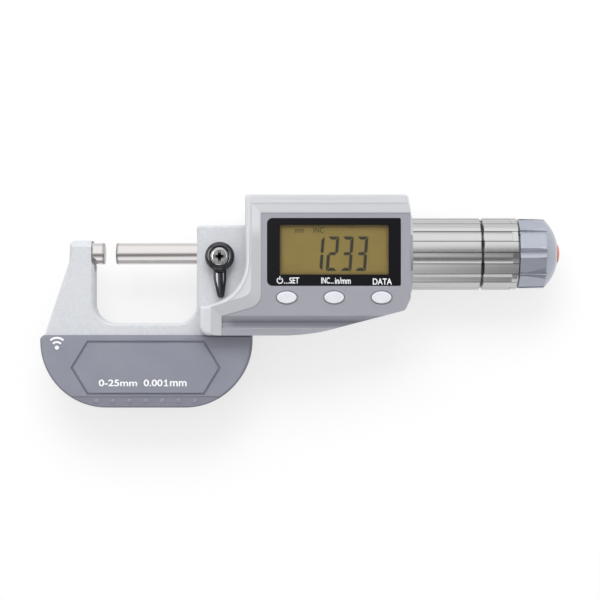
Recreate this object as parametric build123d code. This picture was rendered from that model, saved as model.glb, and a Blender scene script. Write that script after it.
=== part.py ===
from build123d import *
import math
import os

# Digital outside micrometer for 0 to 25 mm, in millimetres.
# The origin is the centre of the anvil's measuring face. +X runs along the spindle
# towards the knob, +Z is the display side, and the instrument lies on its back.

# Measuring line
spindle_d = 6.5           # shank of anvil and spindle
rest_opening = 3.5        # gap between the measuring faces as modelled
full_opening = 25.0       # largest gap
tip_length = 0.7          # carbide tip on each measuring face
tip_edge = 0.2
anvil_length = 9.0        # anvil without its tip
anvil_reach = 3.0         # measuring face to the frame's left arm
spot_face_r = 5.6         # flat cut round the anvil's root
spot_face_depth = 1.1     # at the anvil, 0.4 less at its edge
spot_face_rise = 0.4
screw_d = spindle_d + 1.0    # pitch diameter of the spindle's screw
screw_chamfer = 0.5
nut_length = 17.0         # threaded stretch of the inner sleeve
keyway_width = 1.3
keyway_depth = 0.7

# Clearances
run_gap = 0.03            # a shaft turning in its bore, on the radius
screw_gap = 0.05          # screw in its nut, on the radius
key_gap = 0.1             # each side of the rotor key in its keyway
slide_gap = 0.1           # a pressed part over the one below it
free_gap = 0.3            # between parts that move past each other
fit_gap = 0.2             # between fixed parts put together by hand

# Frame
frame_thickness = 10.0
throat_width = 31.15      # inner wall of the left arm to the right arm
throat_depth = 21.2       # spindle axis to the bottom of the throat
throat_radius = 6.0
left_arm_top = 3.9
left_arm_width = 7.5      # at the anvil
left_arm_knee = -2.6      # where the left arm starts to spread
left_arm_slope = 1.9      # its end slopes down over this length
left_arm_drop = 1.1
right_arm_top = 8.6
frame_edge = 0.7          # chamfer round the throat and the arms
tail_half_height = 12.0   # frame inside the housing
tail_corner = 1.0
arm_x = throat_width - anvil_reach

# Spindle seal in the right arm
seal_height = 1.35
seal_length = 1.5
seal_sink = 0.5
seal_r = spindle_d / 2 + seal_height
seal_x0 = arm_x + seal_sink
seal_x1 = seal_x0 + seal_length

# Heat insulating plates
plate_reach_left = 16.0   # past the left arm's inner wall
plate_reach_right = 16.6  # past the right arm's inner wall
plate_gap = 3.5           # bottom of the throat to the plates
plate_height = 21.85
plate_shoulder = 1.85     # straight part of the plates' ends
plate_left = -anvil_reach - plate_reach_left
plate_right = arm_x + plate_reach_right
plate_top = -throat_depth - plate_gap
plate_corner = plate_height - plate_shoulder
plate_cut = 1.0           # corner cut off at the top left
plate_thickness = 2.0
plate_inset = 0.6         # frame edge behind the edge of the plates
plate_edge = 0.6
plate_step = 0.25         # the rim below the hexagon is thinner
hexagon_side = 9.175      # hexagon's corner to the side of the plate
hexagon_lean = 5.0
hexagon_drop = 1.65       # top of the engraved hexagon below the plate's top
hexagon_rim = 3.8         # plate below the hexagon
hexagon_height = plate_height - hexagon_drop - hexagon_rim
engraving_width = 0.7
engraving_depth = 0.35
bump_count = 7
bump_pitch = 4.95
bump_r = 0.8
bump_height = 0.3
plate_screw_inset = 11.0  # left screw from the plates' left end
plate_screw_pitch = 34.0
plate_screw_drop = 4.6    # below the plates' top edge
plate_screw_head_r = 2.1
plate_screw_head_h = 0.8
plate_screw_r = 0.8

# Thimble and sleeves
thimble_r = 10.9
thimble_length = 32.6
thimble_end_wall = 5.0    # solid right end that holds the spindle's taper
thimble_edge = 0.4
thimble_wall = 2.2        # over its bore
sleeve_r = thimble_r - thimble_wall - free_gap   # outer sleeve, and the frame ring that it meets
sleeve_edge = 0.3
outer_sleeve_wall = 1.9
inner_sleeve_r = sleeve_r - outer_sleeve_wall
shank_space = 1.0         # round the spindle inside its sleeve
inner_bore_r = spindle_d / 2 + shank_space
nut_wall = 0.75
nut_r = inner_bore_r + nut_wall   # slit end of the inner sleeve
nut_overhang = 1.0        # thread lead-in past the sleeve's end
notch_length = 2.0        # spanner notches of the adjusting nut
adjusting_wall = 2.4
nut_neck = 5.0            # its length
nut_slits = 3
slit_width = 0.5
taper_length = 4.4        # spindle's seat in the thimble
taper_drop = 0.8          # its radius shrinks by this
flute_count = 10
flute_half_angle = 9.0
flute_r = 3.9
flute_turn = -8.4
flute_end = 2.0           # smooth rim at the thimble's right end
ring_groove_inset = 11.0  # from the thimble's right end
ring_groove_width = 1.3
ring_groove_depth = 0.7

# Display stack, from the frame's ring outwards
board_thickness = 0.8
light_thickness = 0.6
lcd_thickness = 1.0
front_wall = 1.6          # behind the recessed face
recess_depth = 1.4        # display recess below the rim
board_bottom = sleeve_r + 0.15
board_top = board_bottom + board_thickness
light_top = board_top + light_thickness
lcd_top = light_top + lcd_thickness
inner_front_z = lcd_top + 0.05
recess_z = inner_front_z + front_wall
housing_half_depth = recess_z + recess_depth

# Housing, seen from the front
housing_offset = 14.85    # right arm's inner wall to the housing
foot_offset = 1.05        # and to the part that covers the frame
housing_length = 49.4
housing_left = arm_x + housing_offset
housing_right = housing_left + housing_length
housing_top = 18.0
housing_foot = arm_x + foot_offset
housing_bottom = plate_top    # the housing stands on the plates' top edge
slope_length = 30.4
housing_slope_x = housing_right - slope_length   # where the flat bottom turns up
housing_slope = 14.7      # degrees
slope_round = 60.0
fairing_height = 9.0
fairing_top = plate_top + fairing_height
fairing_radius = housing_left - housing_foot - 3 * fit_gap
fairing_foot_r = 3.0
wall = 1.8
corner_r = wall - 0.2     # corners of the outline
rim_round = wall * 0.6    # rounded edge of the front
groove_inset = 1.3        # fine line along the left edge, from the outline
fine_line = 0.25
recess_slope = 3.25       # width of its sloped sides
recess_inset_left = 5.0
recess_inset_top = 6.4
recess_left = housing_left + recess_inset_left
recess_top = housing_top - recess_inset_top
recess_corner = 4.6
recess_fall = 3.4         # its lower edge falls by this to the left
channel_inset = 6.8
channel_left = housing_foot + channel_inset
channel_rise = 2.2        # its lower edge above the plates
channel_floor = 1.6
channel_shelf = 2.1       # sloped upper side
channel_bottom = plate_top + channel_rise
channel_knee = channel_bottom + channel_floor
channel_top = channel_knee + channel_shelf
channel_depth = 1.2
dot_left = channel_left + 3.3   # row of moulded dots below the channel
dot_pitch = 3.05
dot_y = plate_top + 1.2
dot_r = 0.4
dot_depth = 0.25
engraved_x = housing_left + 0.158 * housing_length   # fine line over the display recess
engraved_length = 0.504 * housing_length
engraved_y = (housing_top + recess_top + recess_slope) / 2 - 0.9
collar_r = thimble_r + 1.0   # round lip that the thimble enters
collar_length = 0.8
bulkhead = 1.2            # wall behind the thimble
thimble_recess = 3.5      # depth that the thimble enters the housing
bulkhead_x = housing_right - thimble_recess - bulkhead
beyond = 10.0             # cutters reach this far past the housing

# Encoder slot in the frame's tail
encoder_offset = 5.2
encoder_slot_x = housing_left + encoder_offset
encoder_slot_length = 7.8
encoder_slot_half = 9.2
sleeve_seat_length = 8.0
encoder_disc = 1.0        # thickness of either disc
rotor_hub_r = inner_bore_r + 1.0
rotor_key_r = rotor_hub_r - fit_gap
rotor_key_length = 2.0

# Display
window_border = 1.5       # recess's floor outside the window
window_inset_right = 2.9
window_left = recess_left + window_border
window_width = housing_right - window_inset_right - window_left
window_top = recess_top - 0.8 * window_border
window_drop = 3.45        # window's lower edge above the buttons' middle
button_rise = 11.35       # buttons above the housing's bottom
button_y = housing_bottom + button_rise
window_height = window_top - button_y - window_drop
window_thickness = 0.8
window_sink = 0.2
window_ledge = 1.2
window_corner = 1.7
window_corner_small = 0.5
lcd_inset = 1.8
lcd_inset_top = 1.0
lcd_inset_bottom = 1.3
contact_width = 1.2

# Buttons
button_names = ("set_button", "mode_button", "data_button")
button_width = 6.0
button_height = 3.7
button_proud = 0.5
button_edge = 0.35
button_flange = 0.6
button_flange_h = 0.4
button_travel = 0.5
button_gap = 0.25
dome_r = 1.2
button_reach = button_width / 2 + button_flange

# Circuit board and what it carries
board_x0 = window_left - 0.5
board_x1 = bulkhead_x - free_gap
board_y0 = button_y - button_height / 2 - slide_gap
board_overlap = 2.6       # board past the window's top
board_y1 = window_top + board_overlap
board_screw_inset = 1.4
board_screw_r = 0.5
board_screw_head_r = 1.1
board_screw_head_h = 0.6
board_post_r = 1.3
membrane_inset = 2.8
first_button_x = board_x0 + membrane_inset + button_reach
last_button_x = bulkhead_x - 2 * fit_gap - button_reach
button_pitch = (last_button_x - first_button_x) / 2
button_xs = [first_button_x + i * button_pitch for i in range(3)]
membrane_thickness = 0.25
membrane_y1 = button_y + 0.75 * button_height
radio_length = 0.7 * button_pitch
radio_x = first_button_x + 0.65 * button_pitch
radio_height = 5.5
radio_thickness = 1.5

# Lock lever
lever_offset = 7.05       # right arm's inner wall to the lever
lever_x = arm_x + lever_offset
lever_y = -1.0
lever_hub_r = 4.45
lever_lip_r = 3.15        # the hub is rounded from here outwards
lever_well_r = 3.05       # well round the screw
lever_reach = 12.4
lever_waist = 7.0         # where the arm's sides bend
lever_root = 2.0          # half its width at the hub
lever_lift = 1.0          # boss under the hub
lever_thickness = 3.4
lever_bevel = 0.75
stud_r = 2.4
lock_screw_head_r = 2.85
lock_screw_r = 1.1
lock_screw_head_h = 1.8
lock_screw_sink = 1.2
lock_gap = 1.0            # stud above the spindle

# Ratchet knob
knob_gap = free_gap       # thimble to knob
knob_r = thimble_r
knob_flat = 0.963 * knob_r
knob_straight = 7.8
knob_taper = 0.35         # the sides close in by this towards the dome
knob_length = 12.9
knob_groove_r = 0.7
knob_groove_depth = 0.5
knob_wide_groove = 1.3    # half width of the shallow groove at the top
knob_wide_depth = 0.3
knob_bore_r = knob_r - thimble_wall - free_gap
cap_r = 2.9
cap_rise = 0.9            # cap's dome beyond the knob's end
cap_seat = 1.2
ratchet_teeth = 24
tooth_height = 0.5
ratchet_r = 6.5
ratchet_inner_r = 4.6
wheel_thickness = 2.2
pawl_thickness = 1.6
ratchet_screw_r = 1.25
ratchet_shoulder_r = 2.0
ratchet_head_r = 3.3
ratchet_head_h = 1.3
ratchet_screw_grip = 8.5  # its length inside the spindle
spring_rise = 0.8
spring_outer_r = 6.0
spring_inner_r = 4.4
spring_sheet = 0.4

# Battery
cell_d = 20.0
cell_x = housing_left + 0.55 * cell_d
cell_height = 13.7        # its middle above the housing's bottom
cell_y = housing_bottom + cell_height
cell_thickness = 3.2
cell_gap = 0.1
cover_rim = 1.3
cover_r = cell_d / 2 + cover_rim
cover_thickness = 1.2
cover_turn = 30.0
cover_slot_half = 6.0
cover_slot_width = 1.6
cover_slot_depth = 0.7
lug_reach = 0.6           # beyond the cover's edge
lug_half_angle = 14.0
lug_thickness = 0.5
lug_z = 0.6               # above the housing's back
seal_section_r = 0.25
seal_inset = 0.65
contact_half = 7.0        # half the length of the contact strip
strip_half = 3.0          # half its width
contact_sheet = 0.3

# Housing screws
post_inset = 3.6          # posts from the housing's top edge
lower_post_rise = 5.7     # the lower posts above the housing's bottom
fairing_post_drop = 3.9
slope_y = housing_bottom + (slope_length - post_inset) * math.tan(math.radians(housing_slope))
housing_screw_spots = (
    (housing_left + post_inset, housing_top - post_inset),
    (housing_right - post_inset, housing_top - post_inset),
    (housing_right - post_inset, slope_y + 0.9 * post_inset),
    (cell_x + cover_r + 0.7, housing_bottom + lower_post_rise),
    (housing_foot + 1.2 * post_inset, fairing_top - fairing_post_drop),
)
posts_under_board = (1, 2)   # the two posts at the right end stop below the circuit board
front_post_r = 2.0
rear_post_r = 2.8
housing_screw_r = 0.8
housing_screw_head_r = 1.9
housing_screw_head_h = 1.8
housing_screw_sink = 1.2
screw_top = board_bottom - 2 * housing_screw_r
board_screw_spots = (
    (board_x0 + board_screw_inset, board_y1 - board_screw_inset),
    (board_x1 - board_screw_inset, board_y1 - board_screw_inset),
    (first_button_x + 0.5 * button_pitch, board_y0 + board_screw_inset),
    (first_button_x + 1.5 * button_pitch, board_y0 + board_screw_inset),
)

# Places that follow from the sizes above
spindle_r = spindle_d / 2
screw_r = screw_d / 2
half_frame = frame_thickness / 2
plate_bottom = plate_top - plate_height
plate_middle = (plate_left + plate_right) / 2
plate_screw_y = plate_top - plate_screw_drop
plate_screw_xs = [plate_left + plate_screw_inset + i * plate_screw_pitch for i in range(2)]
plate_z = half_frame + plate_thickness
hexagon_low = plate_top - hexagon_drop - hexagon_height
window_z1 = recess_z - window_sink
window_z0 = window_z1 - window_thickness
slot_end = encoder_slot_x + encoder_slot_length
tail_end = slot_end + sleeve_seat_length
thimble_hole_r = thimble_r + free_gap
recess_floor_x = housing_right - thimble_recess
thimble_left = recess_floor_x + fit_gap + rest_opening
thimble_right = thimble_left + thimble_length
thimble_bore_r = sleeve_r + free_gap
thimble_bore_end = thimble_right - thimble_end_wall
taper_end = thimble_bore_end + taper_length
sleeve_end = thimble_bore_end - rest_opening - 3 * fit_gap
nut_x = sleeve_end + nut_overhang - nut_length
nut_neck_x = sleeve_end - nut_neck
cover_top = cover_thickness - housing_half_depth
cell_z0 = cover_top + cell_gap
cell_z1 = cell_z0 + cell_thickness

parts = {}


def block(x0, x1, y0, y1, z0, z1):
    return Pos((x0 + x1) / 2, (y0 + y1) / 2, (z0 + z1) / 2) * Box(x1 - x0, y1 - y0, z1 - z0)


def x_rod(x0, x1, r):
    return Pos((x0 + x1) / 2, 0, 0) * Rot(0, 90, 0) * Cylinder(r, x1 - x0)


def x_tube(x0, x1, r_out, r_in):
    return x_rod(x0, x1, r_out) - x_rod(x0, x1, r_in)


def z_rod(x, y, z0, z1, r):
    return Pos(x, y, (z0 + z1) / 2) * Cylinder(r, z1 - z0)


def turned(*points):
    """Solid of revolution about the spindle axis from (x, radius) points."""
    return revolve(make_face(Polyline(*points, close=True)), Axis.X)


def slab(sketch, z0, z1):
    return extrude(Pos(0, 0, z0) * sketch, amount=z1 - z0)


def rounded(points, radii):
    return make_face(FilletPolyline(*points, radius=radii, close=True))


def around_x(shape, degrees):
    return Rot(degrees, 0, 0) * shape


def plate_outline():
    points = [
        (plate_left + plate_cut, plate_top),
        (plate_right, plate_top),
        (plate_right, plate_bottom),
        (plate_left, plate_bottom),
        (plate_left, plate_top - plate_cut),
    ]
    return rounded(points, [0, 0, plate_corner, plate_corner, 0])


def frame_outline():
    left = plate_left + plate_inset
    right = plate_right - plate_inset
    low = plate_bottom + plate_inset
    corner = plate_corner - plate_inset
    inner = -anvil_reach
    outer = inner - left_arm_width
    points = [
        (outer + plate_inset / 2, left_arm_top),
        (inner, left_arm_top),
        (inner, -throat_depth),
        (arm_x, -throat_depth),
        (arm_x, right_arm_top),
        (housing_left + wall, right_arm_top),
        (housing_left + wall, tail_half_height),
        (tail_end, tail_half_height),
        (tail_end, -tail_half_height),
        (right, -tail_half_height),
        (right, low),
        (left, low),
        (left, low + corner + fit_gap),
        (outer, left_arm_knee),
    ]
    radii = [frame_edge + 0.8, frame_edge + 0.1, throat_radius, throat_radius, frame_edge + 0.5, 0, 0,
             tail_corner, tail_corner, 0, corner, corner, 0, 0]
    return rounded(points, radii)


def housing_outline():
    corner_x = housing_right - corner_r
    corner_y = housing_bottom + (corner_x - housing_slope_x) * math.tan(math.radians(housing_slope))
    points = [
        (housing_left, housing_top),
        (housing_right - wall / 2, housing_top),
        (housing_right, housing_top - 3 * wall),
        (housing_right, corner_y + 2 * wall),
        (corner_x, corner_y),
        (housing_slope_x, housing_bottom),
        (housing_foot, housing_bottom),
        (housing_foot, fairing_top),
        (housing_left, fairing_top),
    ]
    radii = [corner_r, wall, 0, wall, corner_r, slope_round, fairing_foot_r, 0, fairing_radius]
    return rounded(points, radii)


def arm_slope(side):
    """Wedge that slopes the end of the left arm towards its top, on the front or the back."""
    top = left_arm_top
    wedge = [(top - left_arm_slope, side * half_frame), (top + 1, side * half_frame),
             (top + 1, side * (half_frame - left_arm_drop * (1 + 1 / left_arm_slope)))]
    section = Plane.YZ * make_face(Polyline(*wedge, close=True))
    return Pos(-anvil_reach - left_arm_width, 0, 0) * extrude(section, amount=left_arm_width)


def make_frame():
    body = slab(frame_outline(), -half_frame, half_frame)
    body = body + x_rod(slot_end, tail_end, sleeve_r)
    edges = []
    for z in (-half_frame, half_frame):
        edges += [e for e in body.edges().filter_by_position(Axis.Z, z - 0.01, z + 0.01)
                  if e.center().X < seal_x0 and e.center().Y > plate_top + frame_edge]
    body = chamfer(edges, frame_edge)
    face_x = -anvil_reach - spot_face_depth
    body = body - turned((face_x, 0), (face_x, spindle_r), (face_x + spot_face_rise, spot_face_r),
                         (0, spot_face_r), (0, 0))
    body = body - arm_slope(1) - arm_slope(-1)
    body = body - x_rod(-anvil_length - tip_length, 0, spindle_r)
    body = body - x_rod(arm_x, tail_end, spindle_r + run_gap)
    body = body - x_rod(seal_x0, seal_x1, seal_r)
    slot = block(encoder_slot_x, slot_end, -encoder_slot_half, encoder_slot_half, -housing_half_depth,
                 housing_half_depth)
    body = body - slot
    body = body - x_rod(slot_end, tail_end, inner_sleeve_r)
    body = body - z_rod(lever_x, lever_y, 0, half_frame, stud_r + run_gap)
    boss_top = half_frame + lever_lift - slide_gap
    body = body + (z_rod(lever_x, lever_y, half_frame, boss_top, lever_hub_r - frame_edge / 2)
                   - z_rod(lever_x, lever_y, half_frame, boss_top, stud_r + run_gap))
    x, y = housing_screw_spots[4]
    body = body - z_rod(x, y, -half_frame, half_frame, housing_screw_r + free_gap)
    for x in plate_screw_xs:
        body = body - z_rod(x, plate_screw_y, -half_frame, half_frame, plate_screw_r + free_gap)
    return body


def hexagon_lines():
    top = plate_top - hexagon_drop
    half_turn = (top + hexagon_low) / 2
    half_width = plate_right - plate_middle - hexagon_side
    half_top = half_width - hexagon_lean
    outer = [
        (plate_middle - half_top, top),
        (plate_middle + half_top, top),
        (plate_middle + half_width, half_turn),
        (plate_middle + half_top, hexagon_low),
        (plate_middle - half_top, hexagon_low),
        (plate_middle - half_width, half_turn),
    ]
    face = make_face(Polyline(*outer, close=True))
    return face - offset(face, amount=-engraving_width, kind=Kind.INTERSECTION)


def make_plate(side):
    body = slab(plate_outline(), half_frame, plate_z)
    body = chamfer(body.edges().group_by(Axis.Z)[-1], plate_edge)
    body = body - slab(hexagon_lines(), plate_z - engraving_depth, plate_z)
    step_top = hexagon_low - engraving_width / 2
    step_z = plate_z - plate_step
    body = body - block(plate_left, plate_right, plate_bottom - 1, step_top, step_z, plate_z + 1)
    for i in range(bump_count):
        x = plate_middle + (i - (bump_count - 1) / 2) * bump_pitch
        body = body + Pos(x, (step_top + plate_bottom) / 2 + fit_gap, step_z) * Cone(
            bump_r, bump_r / 2, bump_height, align=(Align.CENTER, Align.CENTER, Align.MIN))
    if side > 0:
        hole_top = half_frame + 0.6 * plate_thickness
        for x in plate_screw_xs:
            body = body - z_rod(x, plate_screw_y, half_frame, hole_top, plate_screw_r)
        return body
    body = mirror(body, Plane.XY)
    for x in plate_screw_xs:
        body = body - z_rod(x, plate_screw_y, -plate_z, -half_frame, plate_screw_r + free_gap)
        body = body - z_rod(x, plate_screw_y, -plate_z, -plate_z + plate_screw_head_h + slide_gap,
                            plate_screw_head_r + slide_gap)
    return body


def cross_screw(x, y, z_head, head_r, head_h, shank_r, z_tip, up=1):
    """Cross recess screw with its head's free face at z_head and its shank pointing up (+1) or down (-1)."""
    z_under = z_head + up * head_h
    head = z_rod(x, y, min(z_head, z_under), max(z_head, z_under), head_r)
    free_edge = head.edges().group_by(Axis.Z)[0 if up > 0 else -1]
    head = fillet(free_edge, min(0.45 * head_h, 0.3 * head_r))
    shank = z_rod(x, y, min(z_under, z_tip), max(z_under, z_tip), shank_r)
    depth = up * head_h * 0.6
    cross = block(-head_r * 0.62, head_r * 0.62, -head_r * 0.17, head_r * 0.17,
                  min(z_head, z_head + depth), max(z_head, z_head + depth))
    return head + shank - Pos(x, y, 0) * (cross + Rot(0, 0, 90) * cross)


def frame_pocket():
    """Space that the frame takes inside the two housing shells."""
    return slab(frame_outline(), -half_frame, half_frame) + x_rod(slot_end, tail_end, sleeve_r)


def housing_block():
    body = slab(housing_outline(), 0, housing_half_depth)
    body = fillet(body.edges().group_by(Axis.Z)[-1], rim_round)
    lip = x_rod(housing_right - collar_length, housing_right + collar_length, collar_r)
    lip = lip & block(housing_left, housing_right + beyond, -collar_r, collar_r, 0, collar_r)
    return body + lip


def cavity():
    inner = offset(housing_outline(), amount=-wall, kind=Kind.INTERSECTION)
    keep = Pos((housing_left + wall + bulkhead_x) / 2, 0) * Rectangle(
        bulkhead_x - housing_left - wall, 4 * housing_top)
    return inner & keep


def housing_bores():
    sleeve_hole = x_rod(bulkhead_x - wall / 2, recess_floor_x, sleeve_r)
    thimble_hole = x_rod(recess_floor_x, housing_right + 2 * collar_length, thimble_hole_r)
    return sleeve_hole + thimble_hole


def recess_ring(grow, z):
    far = housing_right + beyond
    low = housing_bottom - beyond
    step_y = channel_top - 0.4
    points = [
        (recess_left - grow, recess_top + grow),
        (far, recess_top + grow),
        (far, low),
        (channel_left - grow, low),
        (channel_left - grow, step_y + grow),
        (recess_left - grow, step_y + recess_fall + grow),
    ]
    return Pos(0, 0, z) * rounded(points, [0, 0, 0, 0, 0, recess_corner - grow * 0.5])


def recess_cut():
    """Display recess: a flat floor with sloped sides, open to the right and downwards."""
    above = 0.2
    top_grow = recess_slope * (1 + above / recess_depth)
    return loft([recess_ring(0, recess_z), recess_ring(top_grow, housing_half_depth + above)], ruled=True)


def channel_cut():
    low = recess_z - channel_depth
    high = recess_z + 2 * recess_depth
    profile = [
        (channel_top, recess_z),
        (channel_knee, low),
        (channel_bottom, low),
        (channel_bottom - fine_line, high),
        (channel_top, high),
    ]
    section = Plane.YZ * make_face(Polyline(*profile, close=True))
    return Pos(channel_left, 0, 0) * extrude(section, amount=housing_right + beyond - channel_left)


def button_sketch(x, grow):
    return Pos(x, button_y) * Ellipse(button_width / 2 + grow, button_height / 2 + grow)


def window_sketch(inset):
    x0 = window_left + inset
    x1 = window_left + window_width - inset
    y1 = window_top - inset
    y0 = window_top - window_height + inset
    radii = [window_corner, window_corner_small, window_corner_small, window_corner]
    return rounded([(x0, y1), (x1, y1), (x1, y0), (x0, y0)], radii)


def make_front_housing():
    body = housing_block() - recess_cut() - channel_cut()
    outline = housing_outline()
    line = offset(outline, amount=-groove_inset) - offset(outline, amount=-groove_inset - fine_line)
    line_top = housing_top - groove_inset - corner_r
    line_low = fairing_top - groove_inset - fairing_radius / 2
    line = line & (Pos(housing_left, (line_top + line_low) / 2) * Rectangle(2 * beyond, line_top - line_low))
    body = body - slab(line, housing_half_depth - fine_line, housing_half_depth)
    body = body - block(engraved_x, engraved_x + engraved_length, engraved_y, engraved_y + fine_line,
                        housing_half_depth - fine_line / 2, housing_half_depth)
    hollow = slab(cavity(), 0, inner_front_z)
    for i, (x, y) in enumerate(housing_screw_spots):
        post_top = board_bottom - fit_gap if i in posts_under_board else inner_front_z
        hollow = hollow - z_rod(x, y, 0, post_top, front_post_r)
    for x, y in board_screw_spots:
        hollow = hollow - z_rod(x, y, board_top, inner_front_z, board_post_r)
    body = body - hollow - frame_pocket() - housing_bores()
    body = body - slab(window_sketch(0), window_z0, recess_z + 1)
    body = body - slab(window_sketch(window_ledge), inner_front_z - slide_gap, recess_z)
    for x in button_xs:
        body = body - slab(button_sketch(x, button_gap), inner_front_z - wall / 4, recess_z + 1)
    for i in range(bump_count):
        body = body - z_rod(dot_left + i * dot_pitch, dot_y, recess_z - dot_depth, recess_z, dot_r)
    for x, y in housing_screw_spots:
        body = body - z_rod(x, y, 0, screw_top + 1.0, housing_screw_r)
    for x, y in board_screw_spots:
        body = body - z_rod(x, y, board_top, inner_front_z - fit_gap, board_screw_r)
    return body


def cover_lugs(grow):
    """Two bayonet lugs of the battery cover, or with grow the slot that they turn in."""
    ring = Circle(cover_r + lug_reach + grow) - Circle(cover_r - 1.0)
    far = 2 * cover_r
    half = far * math.tan(math.radians(lug_half_angle)) + grow
    sector = make_face(Polyline((0, 0), (far, -half), (far, half), close=True))
    return ring & (sector + Rot(0, 0, 180) * sector)


def make_rear_housing():
    body = mirror(housing_block(), Plane.XY)
    back = -housing_half_depth
    hollow = slab(cavity(), back + wall, 0)
    for x, y in housing_screw_spots:
        hollow = hollow - z_rod(x, y, back + wall, 0, rear_post_r)
    hollow = hollow - z_rod(cell_x, cell_y, back + wall, cell_z1 + wall / 2, cell_d / 2 + 1.2)
    body = body - hollow - frame_pocket() - housing_bores()
    body = body - z_rod(cell_x, cell_y, cover_top - cell_gap, cell_z1 + contact_sheet, cell_d / 2 + fit_gap)
    seat_top = cover_top + cell_gap
    body = body - z_rod(cell_x, cell_y, back - 1, seat_top, cover_r + free_gap)
    place = Pos(cell_x, cell_y)
    body = body - slab(place * cover_lugs(free_gap), back - 1, seat_top)
    for i in range(4):
        turned_slot = place * Rot(0, 0, -cover_turn * i / 3) * cover_lugs(free_gap)
        body = body - slab(turned_slot, back + lug_z - slide_gap, seat_top)
    for x, y in housing_screw_spots:
        body = body - z_rod(x, y, back, 0, housing_screw_r + free_gap)
        body = body - z_rod(x, y, back, back + housing_screw_sink + housing_screw_head_h,
                            housing_screw_head_r + slide_gap)
    return body


def flute(x0, x1, degrees):
    """One concave flute along the thimble."""
    middle = thimble_r * math.cos(math.radians(flute_half_angle))
    half_chord = thimble_r * math.sin(math.radians(flute_half_angle))
    centre = middle + math.sqrt(flute_r ** 2 - half_chord ** 2)
    cutter = Pos((x0 + x1) / 2, 0, centre) * Rot(0, 90, 0) * Cylinder(flute_r, x1 - x0)
    return around_x(cutter, degrees)


def face_teeth(x_root, direction):
    """Ring of saw teeth that stand on the plane x_root, towards +X or -X."""
    pitch = 360 / ratchet_teeth
    step = math.tan(math.radians(pitch / 2)) * 2 * ratchet_r
    section = [(x_root, 0), (x_root, step * 0.9), (x_root + direction * tooth_height, step * 0.1)]
    bar = extrude(make_face(Polyline(*section, close=True)), amount=ratchet_r + 1, dir=(0, 0, 1))
    ring = x_tube(x_root - 2 * tooth_height, x_root + 2 * tooth_height, ratchet_r, ratchet_inner_r)
    teeth = [around_x(bar, pitch * i) for i in range(ratchet_teeth)]
    return (Part() + teeth) & ring


parts["frame"] = make_frame()
parts["front_heat_plate"] = make_plate(1)
parts["rear_heat_plate"] = make_plate(-1)
parts["heat_plate_screws"] = Compound(children=[
    cross_screw(x, plate_screw_y, slide_gap - plate_z, plate_screw_head_r, plate_screw_head_h, plate_screw_r,
                half_frame + plate_thickness / 2) for x in plate_screw_xs])

# Measuring line
anvil_back = -anvil_length - tip_length
parts["anvil"] = x_rod(anvil_back, -tip_length, spindle_r)
parts["anvil_tip"] = turned((-tip_length, 0), (-tip_length, spindle_r), (-tip_edge, spindle_r),
                            (0, spindle_r - tip_edge), (0, 0))
parts["spindle_seal"] = x_tube(seal_x0, seal_x1, seal_r, spindle_r + run_gap)

tip_x = rest_opening
shank_x = tip_x + tip_length
screw_x = nut_x - full_opening + rest_opening
drill_end = taper_end - ratchet_screw_grip - 0.5
spindle = turned(
    (shank_x, 0),
    (shank_x, spindle_r),
    (screw_x, spindle_r),
    (screw_x + screw_chamfer, screw_r),
    (thimble_bore_end, screw_r),
    (taper_end, screw_r - taper_drop),
    (taper_end, ratchet_screw_r),
    (drill_end, ratchet_screw_r),
    (drill_end - screw_chamfer, 0),
)
key_x1 = slot_end - screw_chamfer
key_x0 = key_x1 - rotor_key_length
keyway_x0 = tip_x + key_x0 - full_opening - free_gap
keyway_x1 = tip_x + key_x1 + free_gap
parts["spindle"] = spindle - block(keyway_x0, keyway_x1, -keyway_width / 2, keyway_width / 2, -screw_d,
                                   keyway_depth - spindle_r)
parts["spindle_tip"] = turned((tip_x, 0), (tip_x, spindle_r - tip_edge), (tip_x + tip_edge, spindle_r),
                              (shank_x, spindle_r), (shank_x, 0))

# Sleeves
nut_bore_r = screw_r + screw_gap
inner_sleeve = turned(
    (slot_end, inner_bore_r),
    (nut_x, inner_bore_r),
    (nut_x, nut_bore_r),
    (sleeve_end, nut_bore_r),
    (sleeve_end, nut_r),
    (nut_neck_x, nut_r),
    (nut_neck_x, inner_sleeve_r),
    (slot_end, inner_sleeve_r),
)
for i in range(nut_slits):
    slit = block(nut_neck_x - nut_neck, sleeve_end + 1, 0, sleeve_r, -slit_width / 2, slit_width / 2)
    inner_sleeve = inner_sleeve - around_x(slit, 360 / nut_slits * i + 30)
parts["inner_sleeve"] = inner_sleeve
adjusting_r = nut_r + adjusting_wall
adjusting_nut = x_tube(nut_neck_x, sleeve_end - nut_overhang, adjusting_r, nut_r)
for i in range(2):
    notch = block(sleeve_end - notch_length, sleeve_end, adjusting_r - adjusting_wall / 2, sleeve_r,
                  -slit_width, slit_width)
    adjusting_nut = adjusting_nut - around_x(notch, 180 * i)
parts["adjusting_nut"] = adjusting_nut
parts["outer_sleeve"] = turned(
    (tail_end, inner_sleeve_r),
    (nut_neck_x, inner_sleeve_r),
    (nut_neck_x, adjusting_r + fit_gap),
    (sleeve_end, adjusting_r + fit_gap),
    (sleeve_end, sleeve_r - sleeve_edge),
    (sleeve_end - sleeve_edge, sleeve_r),
    (tail_end, sleeve_r),
)

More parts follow.
